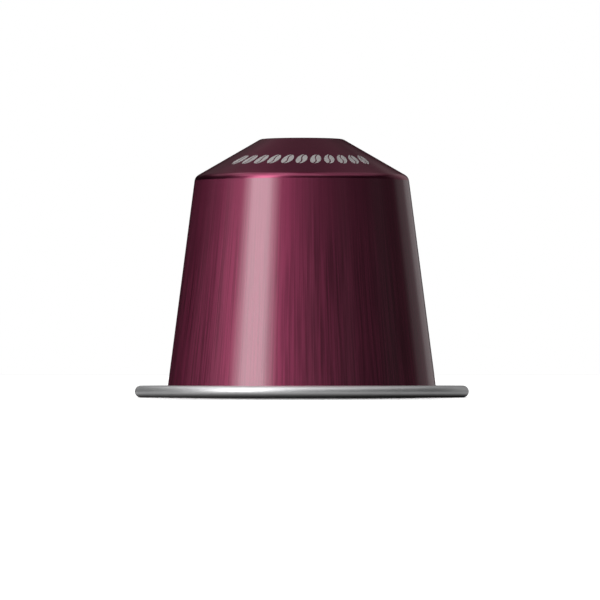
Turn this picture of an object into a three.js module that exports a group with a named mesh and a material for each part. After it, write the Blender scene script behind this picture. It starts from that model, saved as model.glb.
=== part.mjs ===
// A single-serve coffee capsule: a deep-drawn aluminium cup, turned over so that it stands on its
// rolled rim, with its mouth sealed by a foil and a soft sealing ring round the foot of its wall.
// Millimetres, +Z up. The origin is the centre of the circle that the rim stands on.
import * as THREE from "three";

// Driving dimensions, in the order in which the outline is drawn
const RIM_DIAMETER = 37.1; // over the rolled rim
const CURL_HEIGHT = 1.33; // rolled edge, from the surface that it stands on to its top
const CURL_FLAT = 0.25; // flat that the rolling tool leaves under and over the curl
const SHEET = 0.1; // thickness of the drawn aluminium
const LAND_RECESS = 0.45; // underside of the flange, above the surface that the rim stands on
const LAND_BEND = 0.15; // radius of the bend from the flange down into the curl
const CURL_END_GAP = 0.05; // between the free end of the curl and the flange
const LAND_WIDTH = 1.99; // flange between the foot of the wall and the inside of the curl
const FOOT_RADIUS = 0.3; // rounding where the wall leaves the flange
const WALL_HEIGHT = 23.95; // from the flange up to the corner of the shoulder
const WALL_TAPER = 7.4; // degrees that the wall leans in from upright
const SHOULDER_RADIUS = 0.9; // rounding between the wall and the cone
const CONE_SLOPE = 30; // degrees that the cone rises from level
const PLATEAU_DIAMETER = 9.14; // corner between the cone and the level ring at its top
const PLATEAU_RADIUS = 0.9; // rounding of that corner
const PLATEAU_RING = 0.85; // width of the level ring round the dish
const DISH_DEPTH = 0.5; // centre of the top, below the ring
const DISH_SLOPE = 40; // degrees that the side of the dish drops from level
const DISH_RADIUS = 0.35; // rounding at the top and the bottom of the dish's side
const FOIL = 0.04; // thickness of the sealing foil
const FOIL_BULGE = 0.2; // how far the gas of the coffee pushes the middle of the foil out
const FOIL_CLEARANCE = 0.1; // from the edge of the foil to the bend of the flange
const SEAL_WIDTH = 1.05; // sealing ring, across
const SEAL_HEIGHT = 0.42; // sealing ring, above the flange
const SEAL_CLEARANCE = 0.05; // from the rounding of the wall's foot to the sealing ring

// Fineness of the facets
const TURN_STEPS = 72;
const ARC_STEP = THREE.MathUtils.degToRad(22.5);
const BULGE_STEPS = 4;

// Radii and heights that follow from the driving dimensions
const curlRadius = CURL_HEIGHT / 2;
const rimRadius = RIM_DIAMETER / 2;
const curlOuterCentre = new THREE.Vector2(rimRadius - curlRadius, curlRadius);
const curlInnerCentre = new THREE.Vector2(curlOuterCentre.x - CURL_FLAT, curlRadius);
const landTop = LAND_RECESS + SHEET;
const footRadius = curlInnerCentre.x - curlRadius - LAND_WIDTH;
const mouthRadius = footRadius - SHEET;
const shoulderHeight = landTop + WALL_HEIGHT;
const shoulderRadius = footRadius - WALL_HEIGHT * Math.tan(THREE.MathUtils.degToRad(WALL_TAPER));
const plateauRadius = PLATEAU_DIAMETER / 2;
const coneHeight = (shoulderRadius - plateauRadius) * Math.tan(THREE.MathUtils.degToRad(CONE_SLOPE));
const topHeight = shoulderHeight + coneHeight;
const dishRadius = plateauRadius - PLATEAU_RING;
const dishFloorRadius = dishRadius - DISH_DEPTH / Math.tan(THREE.MathUtils.degToRad(DISH_SLOPE));

// The bend between the flange and the curl: its centre lies below the flange, and the bend meets
// the curl on the line that joins the two centres.
const bendCentre = new THREE.Vector2(0, LAND_RECESS - LAND_BEND);
bendCentre.x = curlInnerCentre.x - Math.sqrt(
  (curlRadius + LAND_BEND) ** 2 - (curlRadius - bendCentre.y) ** 2,
);
const bendMeetsCurl = Math.atan2(
  curlInnerCentre.y - bendCentre.y,
  curlInnerCentre.x - bendCentre.x,
);

// Points of an arc, both ends included.
function arc(centre, radius, from, to) {
  const steps = Math.max(1, Math.round(Math.abs(to - from) / ARC_STEP));
  const points = [];
  for (let i = 0; i <= steps; i += 1) {
    const angle = from + ((to - from) * i) / steps;
    points.push(
      new THREE.Vector2(centre.x + radius * Math.cos(angle), centre.y + radius * Math.sin(angle)),
    );
  }
  return points;
}

// The arc that rounds a corner between two straight edges.
function rounded(before, corner, after, radius) {
  const back = before.clone().sub(corner).normalize();
  const ahead = after.clone().sub(corner).normalize();
  const halfAngle = Math.acos(back.dot(ahead)) / 2;
  const inwards = back.clone().add(ahead).normalize();
  const centre = corner.clone().addScaledVector(inwards, radius / Math.sin(halfAngle));
  const start = corner.clone().addScaledVector(back, radius / Math.tan(halfAngle)).sub(centre);
  const end = corner.clone().addScaledVector(ahead, radius / Math.tan(halfAngle)).sub(centre);
  const turn = Math.atan2(start.cross(end), start.dot(end));
  return arc(centre, radius, start.angle(), start.angle() + turn);
}

// Inner face of the foil, from the axis to the mouth of the cup: a shallow spherical bulge.
function foilBulge() {
  const sphere = (mouthRadius ** 2 + FOIL_BULGE ** 2) / (2 * FOIL_BULGE);
  const points = [];
  for (let i = 0; i <= BULGE_STEPS; i += 1) {
    const radius = (mouthRadius * i) / BULGE_STEPS;
    const drop = Math.sqrt(sphere ** 2 - radius ** 2) - (sphere - FOIL_BULGE);
    points.push(new THREE.Vector2(radius, LAND_RECESS - drop));
  }
  return points;
}

// One face of the rolled rim, inset from its outside: down from the flange, under, out, up, over
// and back down to the free end, which stops just short of the flange.
function curlFace(inset) {
  const radius = curlRadius - inset;
  const endAngle = Math.PI + Math.asin((curlRadius - landTop - CURL_END_GAP) / curlRadius);
  return [
    ...arc(bendCentre, LAND_BEND + inset, Math.PI / 2, bendMeetsCurl),
    ...arc(curlInnerCentre, radius, bendMeetsCurl + Math.PI, 1.5 * Math.PI).slice(1),
    ...arc(curlOuterCentre, radius, 1.5 * Math.PI, 2.5 * Math.PI),
    ...arc(curlInnerCentre, radius, 0.5 * Math.PI, endAngle),
  ];
}

// Outside of the drawn cup, from the flange up the wall and over the cone to the dish in its top.
function cupFace() {
  const landEnd = new THREE.Vector2(bendCentre.x, landTop);
  const foot = new THREE.Vector2(footRadius, landTop);
  const shoulder = new THREE.Vector2(shoulderRadius, shoulderHeight);
  const plateau = new THREE.Vector2(plateauRadius, topHeight);
  const dishEdge = new THREE.Vector2(dishRadius, topHeight);
  const dishFoot = new THREE.Vector2(dishFloorRadius, topHeight - DISH_DEPTH);
  const dishCentre = new THREE.Vector2(0, topHeight - DISH_DEPTH);
  return [
    ...rounded(landEnd, foot, shoulder, FOOT_RADIUS),
    ...rounded(foot, shoulder, plateau, SHOULDER_RADIUS),
    ...rounded(shoulder, plateau, dishEdge, PLATEAU_RADIUS),
    ...rounded(plateau, dishEdge, dishFoot, DISH_RADIUS),
    ...rounded(dishEdge, dishFoot, dishCentre, DISH_RADIUS),
    dishCentre,
  ];
}

// The sealed cup with its charge of coffee: closed for good, so it is solid inside.
function capsuleBody() {
  return [...foilBulge(), ...curlFace(0), ...curlFace(SHEET).reverse(), ...cupFace()];
}

// The foil: flat where it is sealed to the flange, bulging over the mouth.
function foilLid() {
  const edge = new THREE.Vector2(bendCentre.x - FOIL_CLEARANCE, LAND_RECESS);
  const inner = [...foilBulge(), edge];
  const outer = inner.map((point) => new THREE.Vector2(point.x, point.y - FOIL));
  return [...outer, ...inner.reverse()];
}

// The sealing ring: a low half-oval bead that lies on the flange beside the foot of the wall.
function sealingRing() {
  const footEnd = footRadius + FOOT_RADIUS * Math.tan(THREE.MathUtils.degToRad(45 - WALL_TAPER / 2));
  const middle = footEnd + SEAL_CLEARANCE + SEAL_WIDTH / 2;
  const points = arc(new THREE.Vector2(0, 0), 1, 0, Math.PI).map(
    (point) => new THREE.Vector2(middle + (point.x * SEAL_WIDTH) / 2, landTop + point.y * SEAL_HEIGHT),
  );
  return [...points, points[0].clone()];
}

// A piece turned about the vertical axis from its outline.
function turned(name, outline, material) {
  const geometry = new THREE.LatheGeometry(outline, TURN_STEPS).rotateX(Math.PI / 2);
  const mesh = new THREE.Mesh(geometry, material);
  mesh.name = name;
  return mesh;
}

const wineLacquer = new THREE.MeshStandardMaterial({ color: 0x5e1f3a, roughness: 0.35, metalness: 0.9 });
const bareFoil = new THREE.MeshStandardMaterial({ color: 0xb9babd, roughness: 0.4, metalness: 0.9 });
const paleSilicone = new THREE.MeshStandardMaterial({ color: 0xb4b1a9, roughness: 0.6, metalness: 0 });

const coffeeCapsule = new THREE.Group();
coffeeCapsule.add(
  turned("capsule_body", capsuleBody(), wineLacquer),
  turned("foil_lid", foilLid(), bareFoil),
  turned("sealing_ring", sealingRing(), paleSilicone),
);

export default coffeeCapsule;
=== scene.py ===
import math

import bpy
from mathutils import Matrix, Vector, noise


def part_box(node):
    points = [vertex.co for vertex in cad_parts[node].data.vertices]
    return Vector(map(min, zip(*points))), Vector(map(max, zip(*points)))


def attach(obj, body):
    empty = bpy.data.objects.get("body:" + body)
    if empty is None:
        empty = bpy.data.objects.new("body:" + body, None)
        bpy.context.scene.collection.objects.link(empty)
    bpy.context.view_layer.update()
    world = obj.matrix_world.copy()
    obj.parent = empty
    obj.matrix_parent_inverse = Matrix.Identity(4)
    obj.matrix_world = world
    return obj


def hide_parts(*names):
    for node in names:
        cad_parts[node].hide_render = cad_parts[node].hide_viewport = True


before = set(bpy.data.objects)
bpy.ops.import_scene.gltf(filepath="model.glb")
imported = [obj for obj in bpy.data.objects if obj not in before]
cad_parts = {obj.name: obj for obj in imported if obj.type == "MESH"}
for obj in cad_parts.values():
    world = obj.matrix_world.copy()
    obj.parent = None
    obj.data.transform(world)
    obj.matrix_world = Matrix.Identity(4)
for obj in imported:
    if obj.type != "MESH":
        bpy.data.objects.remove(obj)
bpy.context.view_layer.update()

# A single-serve coffee capsule that stands on its rolled rim on a plain white table. Metres.
MM = 0.001

# Overall sizes come from the parts in model.glb, and the rest are the drawn cup's own sizes.
RIM_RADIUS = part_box("capsule_body")[1].x
TOP_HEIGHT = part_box("capsule_body")[1].z
CURL_HEIGHT = 1.33 * MM  # rolled edge, from the surface that it stands on to its top
CURL_FLAT = 0.25 * MM  # flat that the rolling tool leaves under and over the curl
SHEET = 0.1 * MM  # thickness of the drawn aluminium
LAND_RECESS = 0.45 * MM  # underside of the flange, above the surface that the rim stands on
LAND_BEND = 0.15 * MM  # radius of the bend from the flange down into the curl
CURL_END_GAP = 0.05 * MM  # between the free end of the curl and the flange
LAND_WIDTH = 1.99 * MM  # flange between the foot of the wall and the inside of the curl
FOOT_RADIUS = 0.3 * MM  # rounding where the wall leaves the flange
WALL_TAPER = math.radians(7.4)  # lean of the wall from upright
CONE_SLOPE = math.radians(30)  # rise of the cone from level
SHOULDER_RADIUS = 0.9 * MM  # rounding between the wall and the cone
PLATEAU_CORNER = 4.57 * MM  # radius of the corner between the cone and the level ring at its top
PLATEAU_RADIUS = 0.9 * MM  # rounding of that corner
PLATEAU_RING = 0.85 * MM  # width of the level ring round the dish
DISH_DEPTH = 0.5 * MM  # centre of the top, below the ring
DISH_SLOPE = math.radians(40)  # drop of the side of the dish from level
DISH_RADIUS = 0.35 * MM  # rounding at the top and the bottom of the dish's side
SEAL_WIDTH = 1.05 * MM  # sealing ring, across

# The sealing foil and its small folds
FOIL = 0.04 * MM  # thickness
FOIL_BULGE = 0.2 * MM  # how far the gas of the coffee pushes its middle out
FOLD_HEIGHT = 0.05 * MM
FOLDS_PER_METRE = 450
FOLD_FADE = 0.25  # part of the mouth's radius over which the folds end towards its edge

# The row of printed beans
BEAN_COUNT = 11
BEAN_PITCH = math.radians(9.9)  # between neighbours, round the axis
BEAN_ROW = 5.0 * MM  # middle of the row, down the cone from the plateau's corner
BEAN_LENGTH = 2.1 * MM
BEAN_WIDTH = 1.15 * MM
BEAN_CREASE = 0.13 * MM  # swing of the crease to each side
BEAN_GAP = 0.14 * MM  # width of the crease
BEAN_TIP = 0.02  # part of each half of the length that is cut off at the tip
BEAN_TILT = math.radians(20)
BEAN_STEPS = 16
BEAN_SECTION = [0, 1, 2, 5, 4, 3]  # the points of a section, in the order round it
INK = 0.012 * MM  # height of the print over the lacquer, and its depth in it

# Places that follow from those sizes
CURL_RADIUS = CURL_HEIGHT / 2
CURL_OUTER = Vector((RIM_RADIUS - CURL_RADIUS, CURL_RADIUS))
CURL_INNER = Vector((CURL_OUTER.x - CURL_FLAT, CURL_RADIUS))
LAND_TOP = LAND_RECESS + SHEET
WALL_FOOT = CURL_INNER.x - CURL_RADIUS - LAND_WIDTH
MOUTH_RADIUS = WALL_FOOT - SHEET
DISH_EDGE = PLATEAU_CORNER - PLATEAU_RING
DISH_FLOOR = DISH_EDGE - DISH_DEPTH / math.tan(DISH_SLOPE)
BEND_HEIGHT = LAND_RECESS - LAND_BEND
BEND_CENTRE = Vector((
    CURL_INNER.x - math.sqrt((CURL_RADIUS + LAND_BEND) ** 2 - (CURL_RADIUS - BEND_HEIGHT) ** 2),
    BEND_HEIGHT,
))

# Fineness of the turned surfaces
TURN_STEPS = 256
ARC_STEP = math.radians(10)
BULGE_STEPS = 24
SHARP_ANGLE = math.radians(35)  # edges sharper than this stay sharp in the shading
ON_AXIS = 1e-9  # a point closer to the axis than this lies on it

# Colours
WINE = (0.256, 0.038, 0.092)
SILVER = (0.86, 0.86, 0.87)
INK_GREY = (0.54, 0.51, 0.51)
SILICONE = (0.58, 0.56, 0.52)

# The lacquer, and the tints of the metal where it is seen at a low angle, through more of it
COAT_ROUGHNESS = 0.14
COAT_INDEX = 1.68
WALL_EDGE_TINT = (1, 0.5, 0.55)
CONE_EDGE_TINT = (1, 0.8, 0.82)

# The upright lines that brushing has left on the wall
LINE_RADIUS = 13.5 * MM  # about the wall's radius halfway up, where the lines have their true width
LINE_PULL = 0.75  # how strongly they widen reflections round the axis
FINE_SHARE = 0.85  # the broad lines have the rest
LINES_FULL_TO = 0.45 * TOP_HEIGHT
LINES_WEAK_FROM = 0.8 * TOP_HEIGHT
WEAK_LINES = 0.25

# The table: what the camera sees of it, and a painted glow that only the metal sees in it,
# strongest near the capsule
TABLE_REACH = 10  # from the capsule to each side of the table
TABLE_WHITE = (0.25, 0.25, 0.25)
PAINTED_TABLE_GLOW = 0.34
GLOW_FULL_TO = 1.2 * RIM_RADIUS
GLOW_ENDS_AT = 2.5 * RIM_RADIUS
UNDER_RIM = RIM_RADIUS - 0.1 * MM  # painted shade: the table's painted glow is zero up to here
BESIDE_RIM = RIM_RADIUS + 1.2 * MM  # and that painted shade is gone from here on

# The light from behind
SUN_STRENGTH = 33
SUN_WIDTH = math.radians(20)  # softens the edge of the shadow
SUN_RISE = math.radians(24)

# The soft boxes: azimuth, from the camera's side towards the right, elevation, width, height and
# softness of the edge, all in degrees, and strength. The two at -45 make the wall's highlight.
SOFT_BOXES = [
    (-167, 28, 12, 14, 8, 0.1),
    (-128, 46, 26, 20, 8, 0.4),
    (-125, 66, 40, 26, 10, 0.7),
    (-100, 10, 24, 14, 14, 0.04),
    (-72, 14, 20, 20, 12, 0.17),
    (-62, 62, 60, 30, 12, 1.5),
    (-45, 25, 18, 34, 6, 2.43),
    (-45, 25, 30, 34, 8, 1.66),
    (-5, 8, 24, 10, 12, 0.19),
    (0, 64, 50, 26, 12, 0.9),
    (28, 8, 30, 10, 12, 0.12),
    (60, 64, 60, 26, 12, 0.5),
    (70, 10, 40, 12, 14, 0.035),
    (100, 12, 30, 14, 12, 0.03),
    (120, 62, 50, 30, 12, 0.35),
    (134, 16, 16, 20, 10, 0.19),
    (155, 15, 12, 20, 10, 0.36),
    (180, 56, 60, 30, 14, 0.13),
]
AMBIENT = 0.008  # light from everywhere between the soft boxes

# The camera stands a little higher than the rim and looks slightly up.
EYE = Vector((0, -0.7, 0.0025))
AIM = Vector((-0.0002, 0, 0.01083))
FOCAL_LENGTH = 378  # in millimetres, as the sensor's width is
SENSOR = 36
NEAREST_SEEN = 0.01
FARTHEST_SEEN = 5 * TABLE_REACH


def shoulder_corner():
    """Radius and height of the corner where the wall's line meets the cone's."""
    wall, cone = math.tan(WALL_TAPER), math.tan(CONE_SLOPE)
    rise = TOP_HEIGHT - LAND_TOP
    climb = (rise - (WALL_FOOT - PLATEAU_CORNER) * cone) / (1 - wall * cone)
    return Vector((WALL_FOOT - climb * wall, LAND_TOP + climb))


def arc(centre, radius, start, end):
    """Points of an arc, both ends included."""
    steps = max(1, round(abs(end - start) / ARC_STEP))
    angles = [start + (end - start) * i / steps for i in range(steps + 1)]
    return [centre + radius * Vector((math.cos(a), math.sin(a))) for a in angles]


def rounded(before, corner, after, radius):
    """The arc that rounds a corner between two straight edges."""
    back = (before - corner).normalized()
    ahead = (after - corner).normalized()
    half_angle = back.angle(ahead) / 2
    centre = corner + (back + ahead).normalized() * radius / math.sin(half_angle)
    start = corner + back * radius / math.tan(half_angle) - centre
    end = corner + ahead * radius / math.tan(half_angle) - centre
    start_angle = math.atan2(start.y, start.x)
    turn = math.atan2(start.x * end.y - start.y * end.x, start.dot(end))
    return arc(centre, radius, start_angle, start_angle + turn)


def foil_bulge():
    """Inner face of the foil from the axis to the mouth: a shallow spherical bulge."""
    sphere = (MOUTH_RADIUS**2 + FOIL_BULGE**2) / (2 * FOIL_BULGE)
    radii = [MOUTH_RADIUS * i / BULGE_STEPS for i in range(BULGE_STEPS + 1)]
    drops = [math.sqrt(sphere**2 - r**2) - (sphere - FOIL_BULGE) for r in radii]
    return [Vector((r, LAND_RECESS - drop)) for r, drop in zip(radii, drops)]


def curl_face(inset):
    """One face of the rolled rim: down from the flange, under, out, over and back down."""
    radius = CURL_RADIUS - inset
    joint = math.atan2(CURL_INNER.y - BEND_CENTRE.y, CURL_INNER.x - BEND_CENTRE.x)
    free_end = math.pi + math.asin((CURL_RADIUS - LAND_TOP - CURL_END_GAP) / CURL_RADIUS)
    return [
        *arc(BEND_CENTRE, LAND_BEND + inset, math.pi / 2, joint),
        *arc(CURL_INNER, radius, joint + math.pi, 1.5 * math.pi)[1:],
        *arc(CURL_OUTER, radius, 1.5 * math.pi, 2.5 * math.pi),
        *arc(CURL_INNER, radius, 0.5 * math.pi, free_end),
    ]


def wall_foot():
    """The rounding between the flange and the wall."""
    land_end = Vector((BEND_CENTRE.x, LAND_TOP))
    return rounded(land_end, Vector((WALL_FOOT, LAND_TOP)), shoulder_corner(), FOOT_RADIUS)


def cup_top():
    """Outside of the drawn cup above its wall: the shoulder, the cone and the dish in its top."""
    foot = Vector((WALL_FOOT, LAND_TOP))
    shoulder = shoulder_corner()
    plateau = Vector((PLATEAU_CORNER, TOP_HEIGHT))
    dish_edge = Vector((DISH_EDGE, TOP_HEIGHT))
    dish_foot = Vector((DISH_FLOOR, TOP_HEIGHT - DISH_DEPTH))
    dish_centre = Vector((0, TOP_HEIGHT - DISH_DEPTH))
    return [
        *rounded(foot, shoulder, plateau, SHOULDER_RADIUS),
        *rounded(shoulder, plateau, dish_edge, PLATEAU_RADIUS),
        *rounded(plateau, dish_edge, dish_foot, DISH_RADIUS),
        *rounded(dish_edge, dish_foot, dish_centre, DISH_RADIUS),
        dish_centre,
    ]


def new_object(name, data):
    """An object linked to the scene."""
    thing = bpy.data.objects.new(name, data)
    bpy.context.scene.collection.objects.link(thing)
    return thing


def turned_rings(outline):
    """Vertices of a turned surface, and the numbers of the vertices in the ring of each point."""
    vertices, rings = [], []
    for point in outline:
        first = len(vertices)
        if point.x < ON_AXIS:
            vertices.append((0, 0, point.y))
            rings.append([first] * TURN_STEPS)
            continue
        for step in range(TURN_STEPS):
            angle = 2 * math.pi * step / TURN_STEPS
            vertices.append((point.x * math.cos(angle), point.x * math.sin(angle), point.y))
        rings.append(list(range(first, first + TURN_STEPS)))
    return vertices, rings


def band(lower, upper):
    """Faces between two rings: triangles where one of the rings is a point on the axis."""
    faces = []
    for step in range(TURN_STEPS):
        after = (step + 1) % TURN_STEPS
        corners = [lower[step], lower[after], upper[after], upper[step]]
        faces.append(list(dict.fromkeys(corners)))
    return faces


def turned(name, outline, materials, finishes=None):
    """A piece turned about the vertical axis. finishes numbers the material of each edge."""
    vertices, rings = turned_rings(outline)
    next_rings = rings[1:]
    if outline[0].x > ON_AXIS:
        next_rings.append(rings[0])
    faces, numbers = [], []
    for i, (lower, upper) in enumerate(zip(rings, next_rings)):
        faces += band(lower, upper)
        numbers += [finishes[i] if finishes else 0] * TURN_STEPS
    mesh = bpy.data.meshes.new(name)
    mesh.from_pydata(vertices, [], faces)
    for material in materials:
        mesh.materials.append(material)
    mesh.polygons.foreach_set("material_index", numbers)
    mesh.polygons.foreach_set("use_smooth", [True] * len(faces))
    mesh.set_sharp_from_angle(angle=SHARP_ANGLE)
    return new_object(name, mesh)


def capsule_shell(wall, cone, bare):
    """The sealed cup. Its sheet is lacquered on one side, which is the inner side of the curl."""
    bare_face = [*foil_bulge(), *curl_face(0)]
    wall_face = [*curl_face(SHEET)[::-1], *wall_foot()]
    cone_face = cup_top()
    materials = [wall, cone, bare]
    finishes = []
    for material, face in ((bare, bare_face), (wall, wall_face), (cone, cone_face)):
        finishes += [materials.index(material)] * len(face)
    outline = [*bare_face, *wall_face, *cone_face]
    piece = turned("capsule_shell", outline, materials, finishes)
    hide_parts("capsule_body")
    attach(piece, "root")


def smooth_step(x):
    """0 below 0, 1 above 1 and a smooth rise between them."""
    x = min(max(x, 0), 1)
    return x * x * (3 - 2 * x)


def crinkled(piece):
    """Small folds in the foil: its points move up and down, and its sealed edge stays flat."""
    dimension, spacing_ratio, octaves = 1, 2, 3
    for vertex in piece.data.vertices:
        place = vertex.co.xy.to_3d()
        fade = smooth_step((MOUTH_RADIUS - place.length) / (FOLD_FADE * MOUTH_RADIUS))
        fold = noise.fractal(place * FOLDS_PER_METRE, dimension, spacing_ratio, octaves)
        vertex.co.z += FOLD_HEIGHT * fade * fold


def seal_foil(bare):
    """The foil: flat where it is sealed to the flange, bulging over the mouth."""
    inner = [*foil_bulge(), Vector((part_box("foil_lid")[1].x, LAND_RECESS))]
    outer = [point - Vector((0, FOIL)) for point in inner]
    piece = turned("seal_foil", [*outer, *inner[::-1]], [bare])
    crinkled(piece)
    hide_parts("foil_lid")
    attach(piece, "root")


def silicone_bead(rubber):
    """The sealing ring: a low half-oval bead that lies on the flange."""
    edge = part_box("sealing_ring")[1]
    middle = Vector((edge.x - SEAL_WIDTH / 2, LAND_TOP))
    size = Vector((SEAL_WIDTH / 2, edge.z - LAND_TOP))
    outline = [middle + size * point for point in arc(Vector((0, 0)), 1, 0, math.pi)]
    piece = turned("silicone_bead", outline, [rubber])
    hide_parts("sealing_ring")
    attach(piece, "root")


def on_cone(down, across, height):
    """A point by its distance down the cone, its angle from the front and its height over it."""
    radius = PLATEAU_CORNER + down * math.cos(CONE_SLOPE) + height * math.sin(CONE_SLOPE)
    level = TOP_HEIGHT - down * math.sin(CONE_SLOPE) + height * math.cos(CONE_SLOPE)
    return (radius * math.sin(across), -radius * math.cos(across), level)


def across_half_bean(along, side):
    """Three distances from a bean's middle line, from its crease out to its edge."""
    edge = side * BEAN_WIDTH / 2 * math.sqrt(1 - along**2)
    crease = BEAN_CREASE * math.sin(math.pi * along) + side * BEAN_GAP / 2
    inner = crease if (edge - crease) * side > 0 else edge - side * BEAN_GAP / 4
    return [inner + (edge - inner) * part for part in (0, 0.5, 1)]


def half_bean(angle, side):
    """Vertices of one half of a printed bean: a closed plate that follows the cone."""
    vertices = []
    radius = PLATEAU_CORNER + BEAN_ROW * math.cos(CONE_SLOPE)
    for i in range(BEAN_STEPS + 1):
        along = math.cos(math.pi * i / BEAN_STEPS) * (1 - BEAN_TIP)
        y = along * BEAN_LENGTH / 2
        for height in (INK, -INK):
            for x in across_half_bean(along, side):
                tilted_x = x * math.cos(BEAN_TILT) - y * math.sin(BEAN_TILT)
                tilted_y = x * math.sin(BEAN_TILT) + y * math.cos(BEAN_TILT)
                vertices.append(on_cone(BEAN_ROW + tilted_y, angle + tilted_x / radius, height))
    return vertices


def half_bean_faces(side):
    """Faces of a half bean: its two ends, and a band between each two sections in turn."""
    size = len(BEAN_SECTION)
    last = BEAN_STEPS * size
    faces = [BEAN_SECTION, [last + k for k in reversed(BEAN_SECTION)]]
    for first in range(0, last, size):
        for k, after in zip(BEAN_SECTION, BEAN_SECTION[1:] + BEAN_SECTION[:1]):
            faces.append([first + k, first + size + k, first + size + after, first + after])
    return faces if side > 0 else [face[::-1] for face in faces]


def printed_beans(ink):
    """A row of plain coffee beans printed round the front of the cone."""
    vertices, faces = [], []
    for i in range(BEAN_COUNT):
        angle = BEAN_PITCH * (i - (BEAN_COUNT - 1) / 2)
        for side in (-1, 1):
            first = len(vertices)
            faces += [[first + k for k in face] for face in half_bean_faces(side)]
            vertices += half_bean(angle, side)
    mesh = bpy.data.meshes.new("printed_beans")
    mesh.from_pydata(vertices, [], faces)
    mesh.materials.append(ink)
    piece = new_object("printed_beans", mesh)
    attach(piece, "root")


def shade(color, factor):
    """A darker or lighter shade of a colour, with full alpha."""
    return (*[channel * factor for channel in color], 1)


class Nodes:
    """A node tree under construction, with short ways to add nodes."""

    def __init__(self, tree):
        self.tree = tree

    def node(self, kind, inputs=None, **settings):
        """A new node. An input is linked if it is another node's socket, and set if it isn't."""
        node = self.tree.nodes.new(kind)
        for name, value in settings.items():
            setattr(node, name, value)
        for name, value in (inputs or {}).items():
            if isinstance(value, bpy.types.NodeSocket):
                self.tree.links.new(value, node.inputs[name])
            else:
                node.inputs[name].default_value = value
        return node

    def split(self, vector):
        return self.node("ShaderNodeSeparateXYZ", {"Vector": vector}).outputs

    def maths(self, operation, *values):
        inputs = dict(enumerate(values))
        return self.node("ShaderNodeMath", inputs, operation=operation).outputs[0]

    def multiply(self, first, second):
        return self.maths("MULTIPLY", first, second)

    def add(self, first, second):
        return self.maths("ADD", first, second)

    def spread(self, value, low, high, start=0.3, end=0.7, shape="LINEAR"):
        """A value that runs from start to end, mapped to low to high."""
        inputs = {"Value": value, "From Min": start, "From Max": end, "To Min": low, "To Max": high}
        node = self.node("ShaderNodeMapRange", inputs, interpolation_type=shape)
        return node.outputs["Result"]


class Finish(Nodes):
    """A material under construction, with its Principled shader."""

    def __init__(self, name, color, roughness, metallic):
        self.material = bpy.data.materials.new(name)
        self.material.use_nodes = True
        super().__init__(self.material.node_tree)
        self.shader = self.tree.nodes["Principled BSDF"]
        self.set("Base Color", (*color, 1))
        self.set("Roughness", roughness)
        self.set("Metallic", metallic)

    def set(self, socket, value):
        self.shader.inputs[socket].default_value = value

    def link(self, output, socket):
        self.tree.links.new(output, self.shader.inputs[socket])

    def place(self):
        return self.node("ShaderNodeTexCoord").outputs["Object"]

    def noise(self, place, scale, detail):
        inputs = {"Vector": place, "Scale": scale, "Detail": detail}
        return self.node("ShaderNodeTexNoise", inputs).outputs["Fac"]

    def faded(self, value, strength):
        """Draws a value towards its middle, 0.5, where the strength is low."""
        return self.add(self.multiply(self.add(value, -0.5), strength), 0.5)

    def tones(self, value, color, low, high):
        """A colour that varies from a darker to a lighter shade of itself."""
        inputs = {"Factor": value, "A": shade(color, low), "B": shade(color, high)}
        return self.node("ShaderNodeMix", inputs, data_type="RGBA").outputs["Result"]

    def bump(self, height, depth):
        inputs = {"Height": height, "Distance": depth, "Strength": 1}
        return self.node("ShaderNodeBump", inputs).outputs["Normal"]

    def widen_reflections(self, strength):
        """Draws reflections out round the axis, as lines brushed up the surface do."""
        self.set("Anisotropic", strength)
        tangent = self.node("ShaderNodeTangent", direction_type="RADIAL", axis="Z")
        self.link(tangent.outputs["Tangent"], "Tangent")

    def vectors(self, operation, inputs):
        return self.node("ShaderNodeVectorMath", inputs, operation=operation).outputs[0]

    def drawn_lines(self, scale, detail, stretch):
        """Noise that changes quickly round the axis and slowly up it, so that it makes lines."""
        x, y, z = self.split(self.place())
        flat = self.node("ShaderNodeCombineXYZ", {"X": x, "Y": y}).outputs[0]
        outwards = self.vectors("NORMALIZE", {0: flat})
        round_axis = self.vectors("SCALE", {0: outwards, "Scale": LINE_RADIUS})
        slow_rise = self.multiply(z, 1 / stretch)
        rise = self.node("ShaderNodeCombineXYZ", {"Z": slow_rise}).outputs[0]
        return self.noise(self.vectors("ADD", {0: round_axis, 1: rise}), scale, detail)


def lacquer(name, roughness, coat, edge_tint):
    """Clear wine-red lacquer over aluminium."""
    finish = Finish(name, WINE, roughness, metallic=1)
    finish.set("Coat Weight", coat)
    finish.set("Coat Roughness", COAT_ROUGHNESS)
    finish.set("Coat IOR", COAT_INDEX)
    finish.set("Specular Tint", (*edge_tint, 1))
    return finish


def brushed_lacquer():
    """The wall: brushing has left fine upright lines, stronger towards the rim."""
    finish = lacquer("brushed_lacquer", roughness=0.45, coat=1, edge_tint=WALL_EDGE_TINT)
    finish.widen_reflections(LINE_PULL)
    height = finish.split(finish.place())["Z"]
    strength = finish.spread(height, 1, WEAK_LINES, LINES_FULL_TO, LINES_WEAK_FROM)
    fine = finish.faded(finish.drawn_lines(scale=6000, detail=3, stretch=60), strength)
    broad = finish.faded(finish.drawn_lines(scale=1100, detail=2, stretch=25), strength)
    both = finish.add(finish.multiply(fine, FINE_SHARE), finish.multiply(broad, 1 - FINE_SHARE))
    contrast = finish.spread(both, low=0, high=1, start=0.4, end=0.6)
    finish.link(finish.tones(contrast, WINE, low=0.78, high=1.22), "Base Color")
    finish.link(finish.spread(fine, low=0.39, high=0.51), "Roughness")
    finish.link(finish.bump(fine, depth=0.02 * MM), "Normal")
    return finish.material


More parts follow.
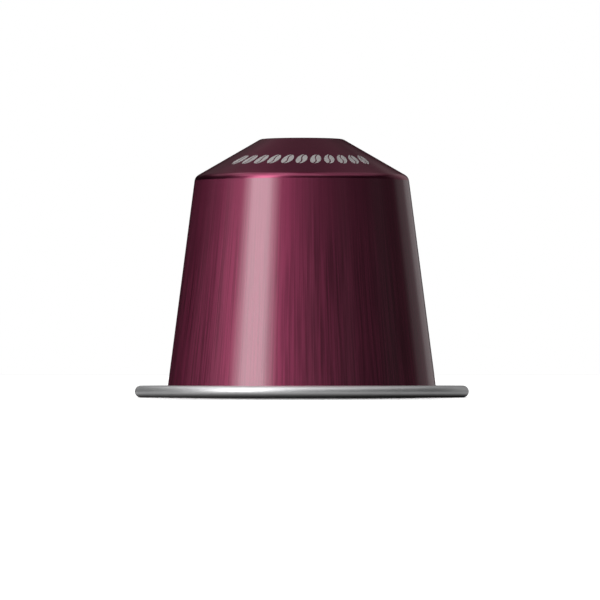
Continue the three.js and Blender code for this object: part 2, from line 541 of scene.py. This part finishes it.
def plain_lacquer():
    """The cone and the dish: smooth, with the faint grain of the sheet under the lacquer."""
    finish = lacquer("plain_lacquer", roughness=0.3, coat=0.3, edge_tint=CONE_EDGE_TINT)
    grain = finish.noise(finish.place(), scale=9000, detail=4)
    cloud = finish.noise(finish.place(), scale=350, detail=2)
    finish.link(finish.tones(cloud, WINE, low=0.9, high=1.1), "Base Color")
    finish.link(finish.spread(grain, low=0.27, high=0.33), "Roughness")
    finish.link(finish.bump(grain, depth=0.0006 * MM), "Normal")
    return finish.material


def bare_aluminium():
    """The bare side of the sheet, matt from the rolling of the rim."""
    finish = Finish("rolled_aluminium", SILVER, roughness=0.45, metallic=0.85)
    mottle = finish.noise(finish.place(), scale=900, detail=4)
    grain = finish.noise(finish.place(), scale=9000, detail=3)
    finish.link(finish.tones(mottle, SILVER, low=0.92, high=1.08), "Base Color")
    finish.link(finish.spread(grain, low=0.4, high=0.5), "Roughness")
    finish.link(finish.bump(grain, depth=0.0012 * MM), "Normal")
    return finish.material


def foil_aluminium():
    """The sealing foil: thin rolled aluminium with small creases."""
    finish = Finish("foil_aluminium", SILVER, roughness=0.28, metallic=1)
    creases = finish.noise(finish.place(), scale=700, detail=5)
    finish.link(finish.tones(creases, SILVER, low=0.9, high=1.1), "Base Color")
    finish.link(finish.spread(creases, low=0.2, high=0.36), "Roughness")
    finish.link(finish.bump(creases, depth=0.03 * MM), "Normal")
    return finish.material


def silver_ink():
    """Matt silver-grey ink."""
    finish = Finish("silver_ink", INK_GREY, roughness=0.55, metallic=0.25)
    speckle = finish.noise(finish.place(), scale=14000, detail=2)
    finish.link(finish.tones(speckle, INK_GREY, low=0.92, high=1.08), "Base Color")
    finish.link(finish.bump(speckle, depth=0.001 * MM), "Normal")
    return finish.material


def pale_silicone():
    """Soft, matt sealing rubber."""
    finish = Finish("soft_silicone", SILICONE, roughness=0.55, metallic=0)
    cloud = finish.noise(finish.place(), scale=1500, detail=3)
    finish.link(finish.tones(cloud, SILICONE, low=0.92, high=1.06), "Base Color")
    finish.link(finish.spread(cloud, low=0.5, high=0.62), "Roughness")
    finish.link(finish.bump(cloud, depth=0.004 * MM), "Normal")
    return finish.material


def make_camera():
    """The photograph's view."""
    data = bpy.data.cameras.new("camera")
    data.lens = FOCAL_LENGTH
    data.sensor_width = SENSOR
    data.clip_start = NEAREST_SEEN
    data.clip_end = FARTHEST_SEEN
    camera = new_object("camera", data)
    camera.location = EYE
    camera.rotation_euler = (AIM - EYE).to_track_quat("-Z", "Y").to_euler()
    bpy.context.scene.camera = camera


def white_table_with_painted_glow():
    """Only the camera sees the table's white and its shadow. The metal sees a painted glow instead,
    strongest near the capsule and shaded off under the rim.
    """
    finish = Finish("table_white_painted_glow", TABLE_WHITE, roughness=0.8, metallic=0)
    finish.set("Specular IOR Level", 0)
    to_camera = finish.node("ShaderNodeLightPath").outputs["Is Camera Ray"]
    finish.link(finish.tones(to_camera, TABLE_WHITE, low=0, high=1), "Base Color")
    length = finish.node("ShaderNodeVectorMath", {0: finish.place()}, operation="LENGTH")
    distance = length.outputs["Value"]
    # Painted glow: the table emits light that only the metal sees, fading with distance from the
    # capsule
    painted_glow_falloff = finish.spread(distance, PAINTED_TABLE_GLOW, 0, GLOW_FULL_TO, GLOW_ENDS_AT)
    # Painted shade: the glow is zero under the rim and rises to full just beside it.
    painted_rim_shade = finish.spread(distance, 0, 1, UNDER_RIM, BESIDE_RIM)
    glow = finish.multiply(painted_glow_falloff, painted_rim_shade)
    to_metal = finish.maths("SUBTRACT", 1, to_camera)
    finish.set("Emission Color", (1, 1, 1, 1))
    finish.link(finish.multiply(glow, to_metal), "Emission Strength")
    return finish.material


def table_top(white):
    """The plain white table."""
    corners = [(-1, -1), (1, -1), (1, 1), (-1, 1)]
    mesh = bpy.data.meshes.new("table_top")
    vertices = [(x * TABLE_REACH, y * TABLE_REACH, 0) for x, y in corners]
    mesh.from_pydata(vertices, [], [(0, 1, 2, 3)])
    # Its finish is white for the camera and carries a painted glow for the metal.
    mesh.materials.append(white)
    table = new_object("table_top", mesh)
    return table


def back_light(table):
    """A low, soft light from behind that falls on the table alone and lays the shadow in front."""
    sun = bpy.data.lights.new("back_light", "SUN")
    sun.energy = SUN_STRENGTH
    sun.angle = SUN_WIDTH
    lamp = new_object("back_light", sun)
    beam = Vector((0, -math.cos(SUN_RISE), -math.sin(SUN_RISE)))
    lamp.rotation_euler = beam.to_track_quat("-Z", "Y").to_euler()
    lit_alone = bpy.data.collections.new("lit_alone")
    lit_alone.objects.link(table)
    lamp.light_linking.receiver_collection = lit_alone


def near(sky, angle, middle, reach, softness):
    """1 where an angle is within reach of the middle, falling to 0 over the softness."""
    turn = sky.maths("WRAP", sky.maths("SUBTRACT", angle, middle), math.pi, -math.pi)
    away = sky.maths("ABSOLUTE", turn)
    return sky.spread(away, 1, 0, reach, reach + softness, shape="SMOOTHSTEP")


def soft_box(sky, azimuth, elevation, box):
    """Light of one soft box by direction."""
    *angles, strength = box
    middle, rise, width, height, softness = map(math.radians, angles)
    across = near(sky, azimuth, middle, width / 2, softness)
    up = near(sky, elevation, rise, height / 2, softness)
    return sky.multiply(sky.multiply(across, up), strength)


def studio():
    """World light: white for the camera's own rays, soft boxes by direction for all others."""
    world = bpy.data.worlds.new("studio")
    world.use_nodes = True
    bpy.context.scene.world = world
    sky = Nodes(world.node_tree)
    sky.tree.nodes.clear()
    x, y, z = sky.split(sky.node("ShaderNodeTexCoord").outputs["Generated"])
    azimuth = sky.maths("ARCTAN2", x, sky.multiply(y, -1))
    elevation = sky.maths("ARCSINE", z)
    light = AMBIENT
    for box in SOFT_BOXES:
        light = sky.add(light, soft_box(sky, azimuth, elevation, box))
    to_camera = sky.node("ShaderNodeLightPath").outputs["Is Camera Ray"]
    to_others = sky.maths("SUBTRACT", 1, to_camera)
    strength = sky.add(to_camera, sky.multiply(to_others, light))
    inputs = {"Color": (1, 1, 1, 1), "Strength": strength}
    background = sky.node("ShaderNodeBackground", inputs)
    sky.node("ShaderNodeOutputWorld", {"Surface": background.outputs[0]})


make_camera()
capsule_shell(brushed_lacquer(), plain_lacquer(), bare_aluminium())
seal_foil(foil_aluminium())
silicone_bead(pale_silicone())
printed_beans(silver_ink())
back_light(table_top(white_table_with_painted_glow()))
studio()
bpy.context.scene.view_settings.view_transform = "Standard"
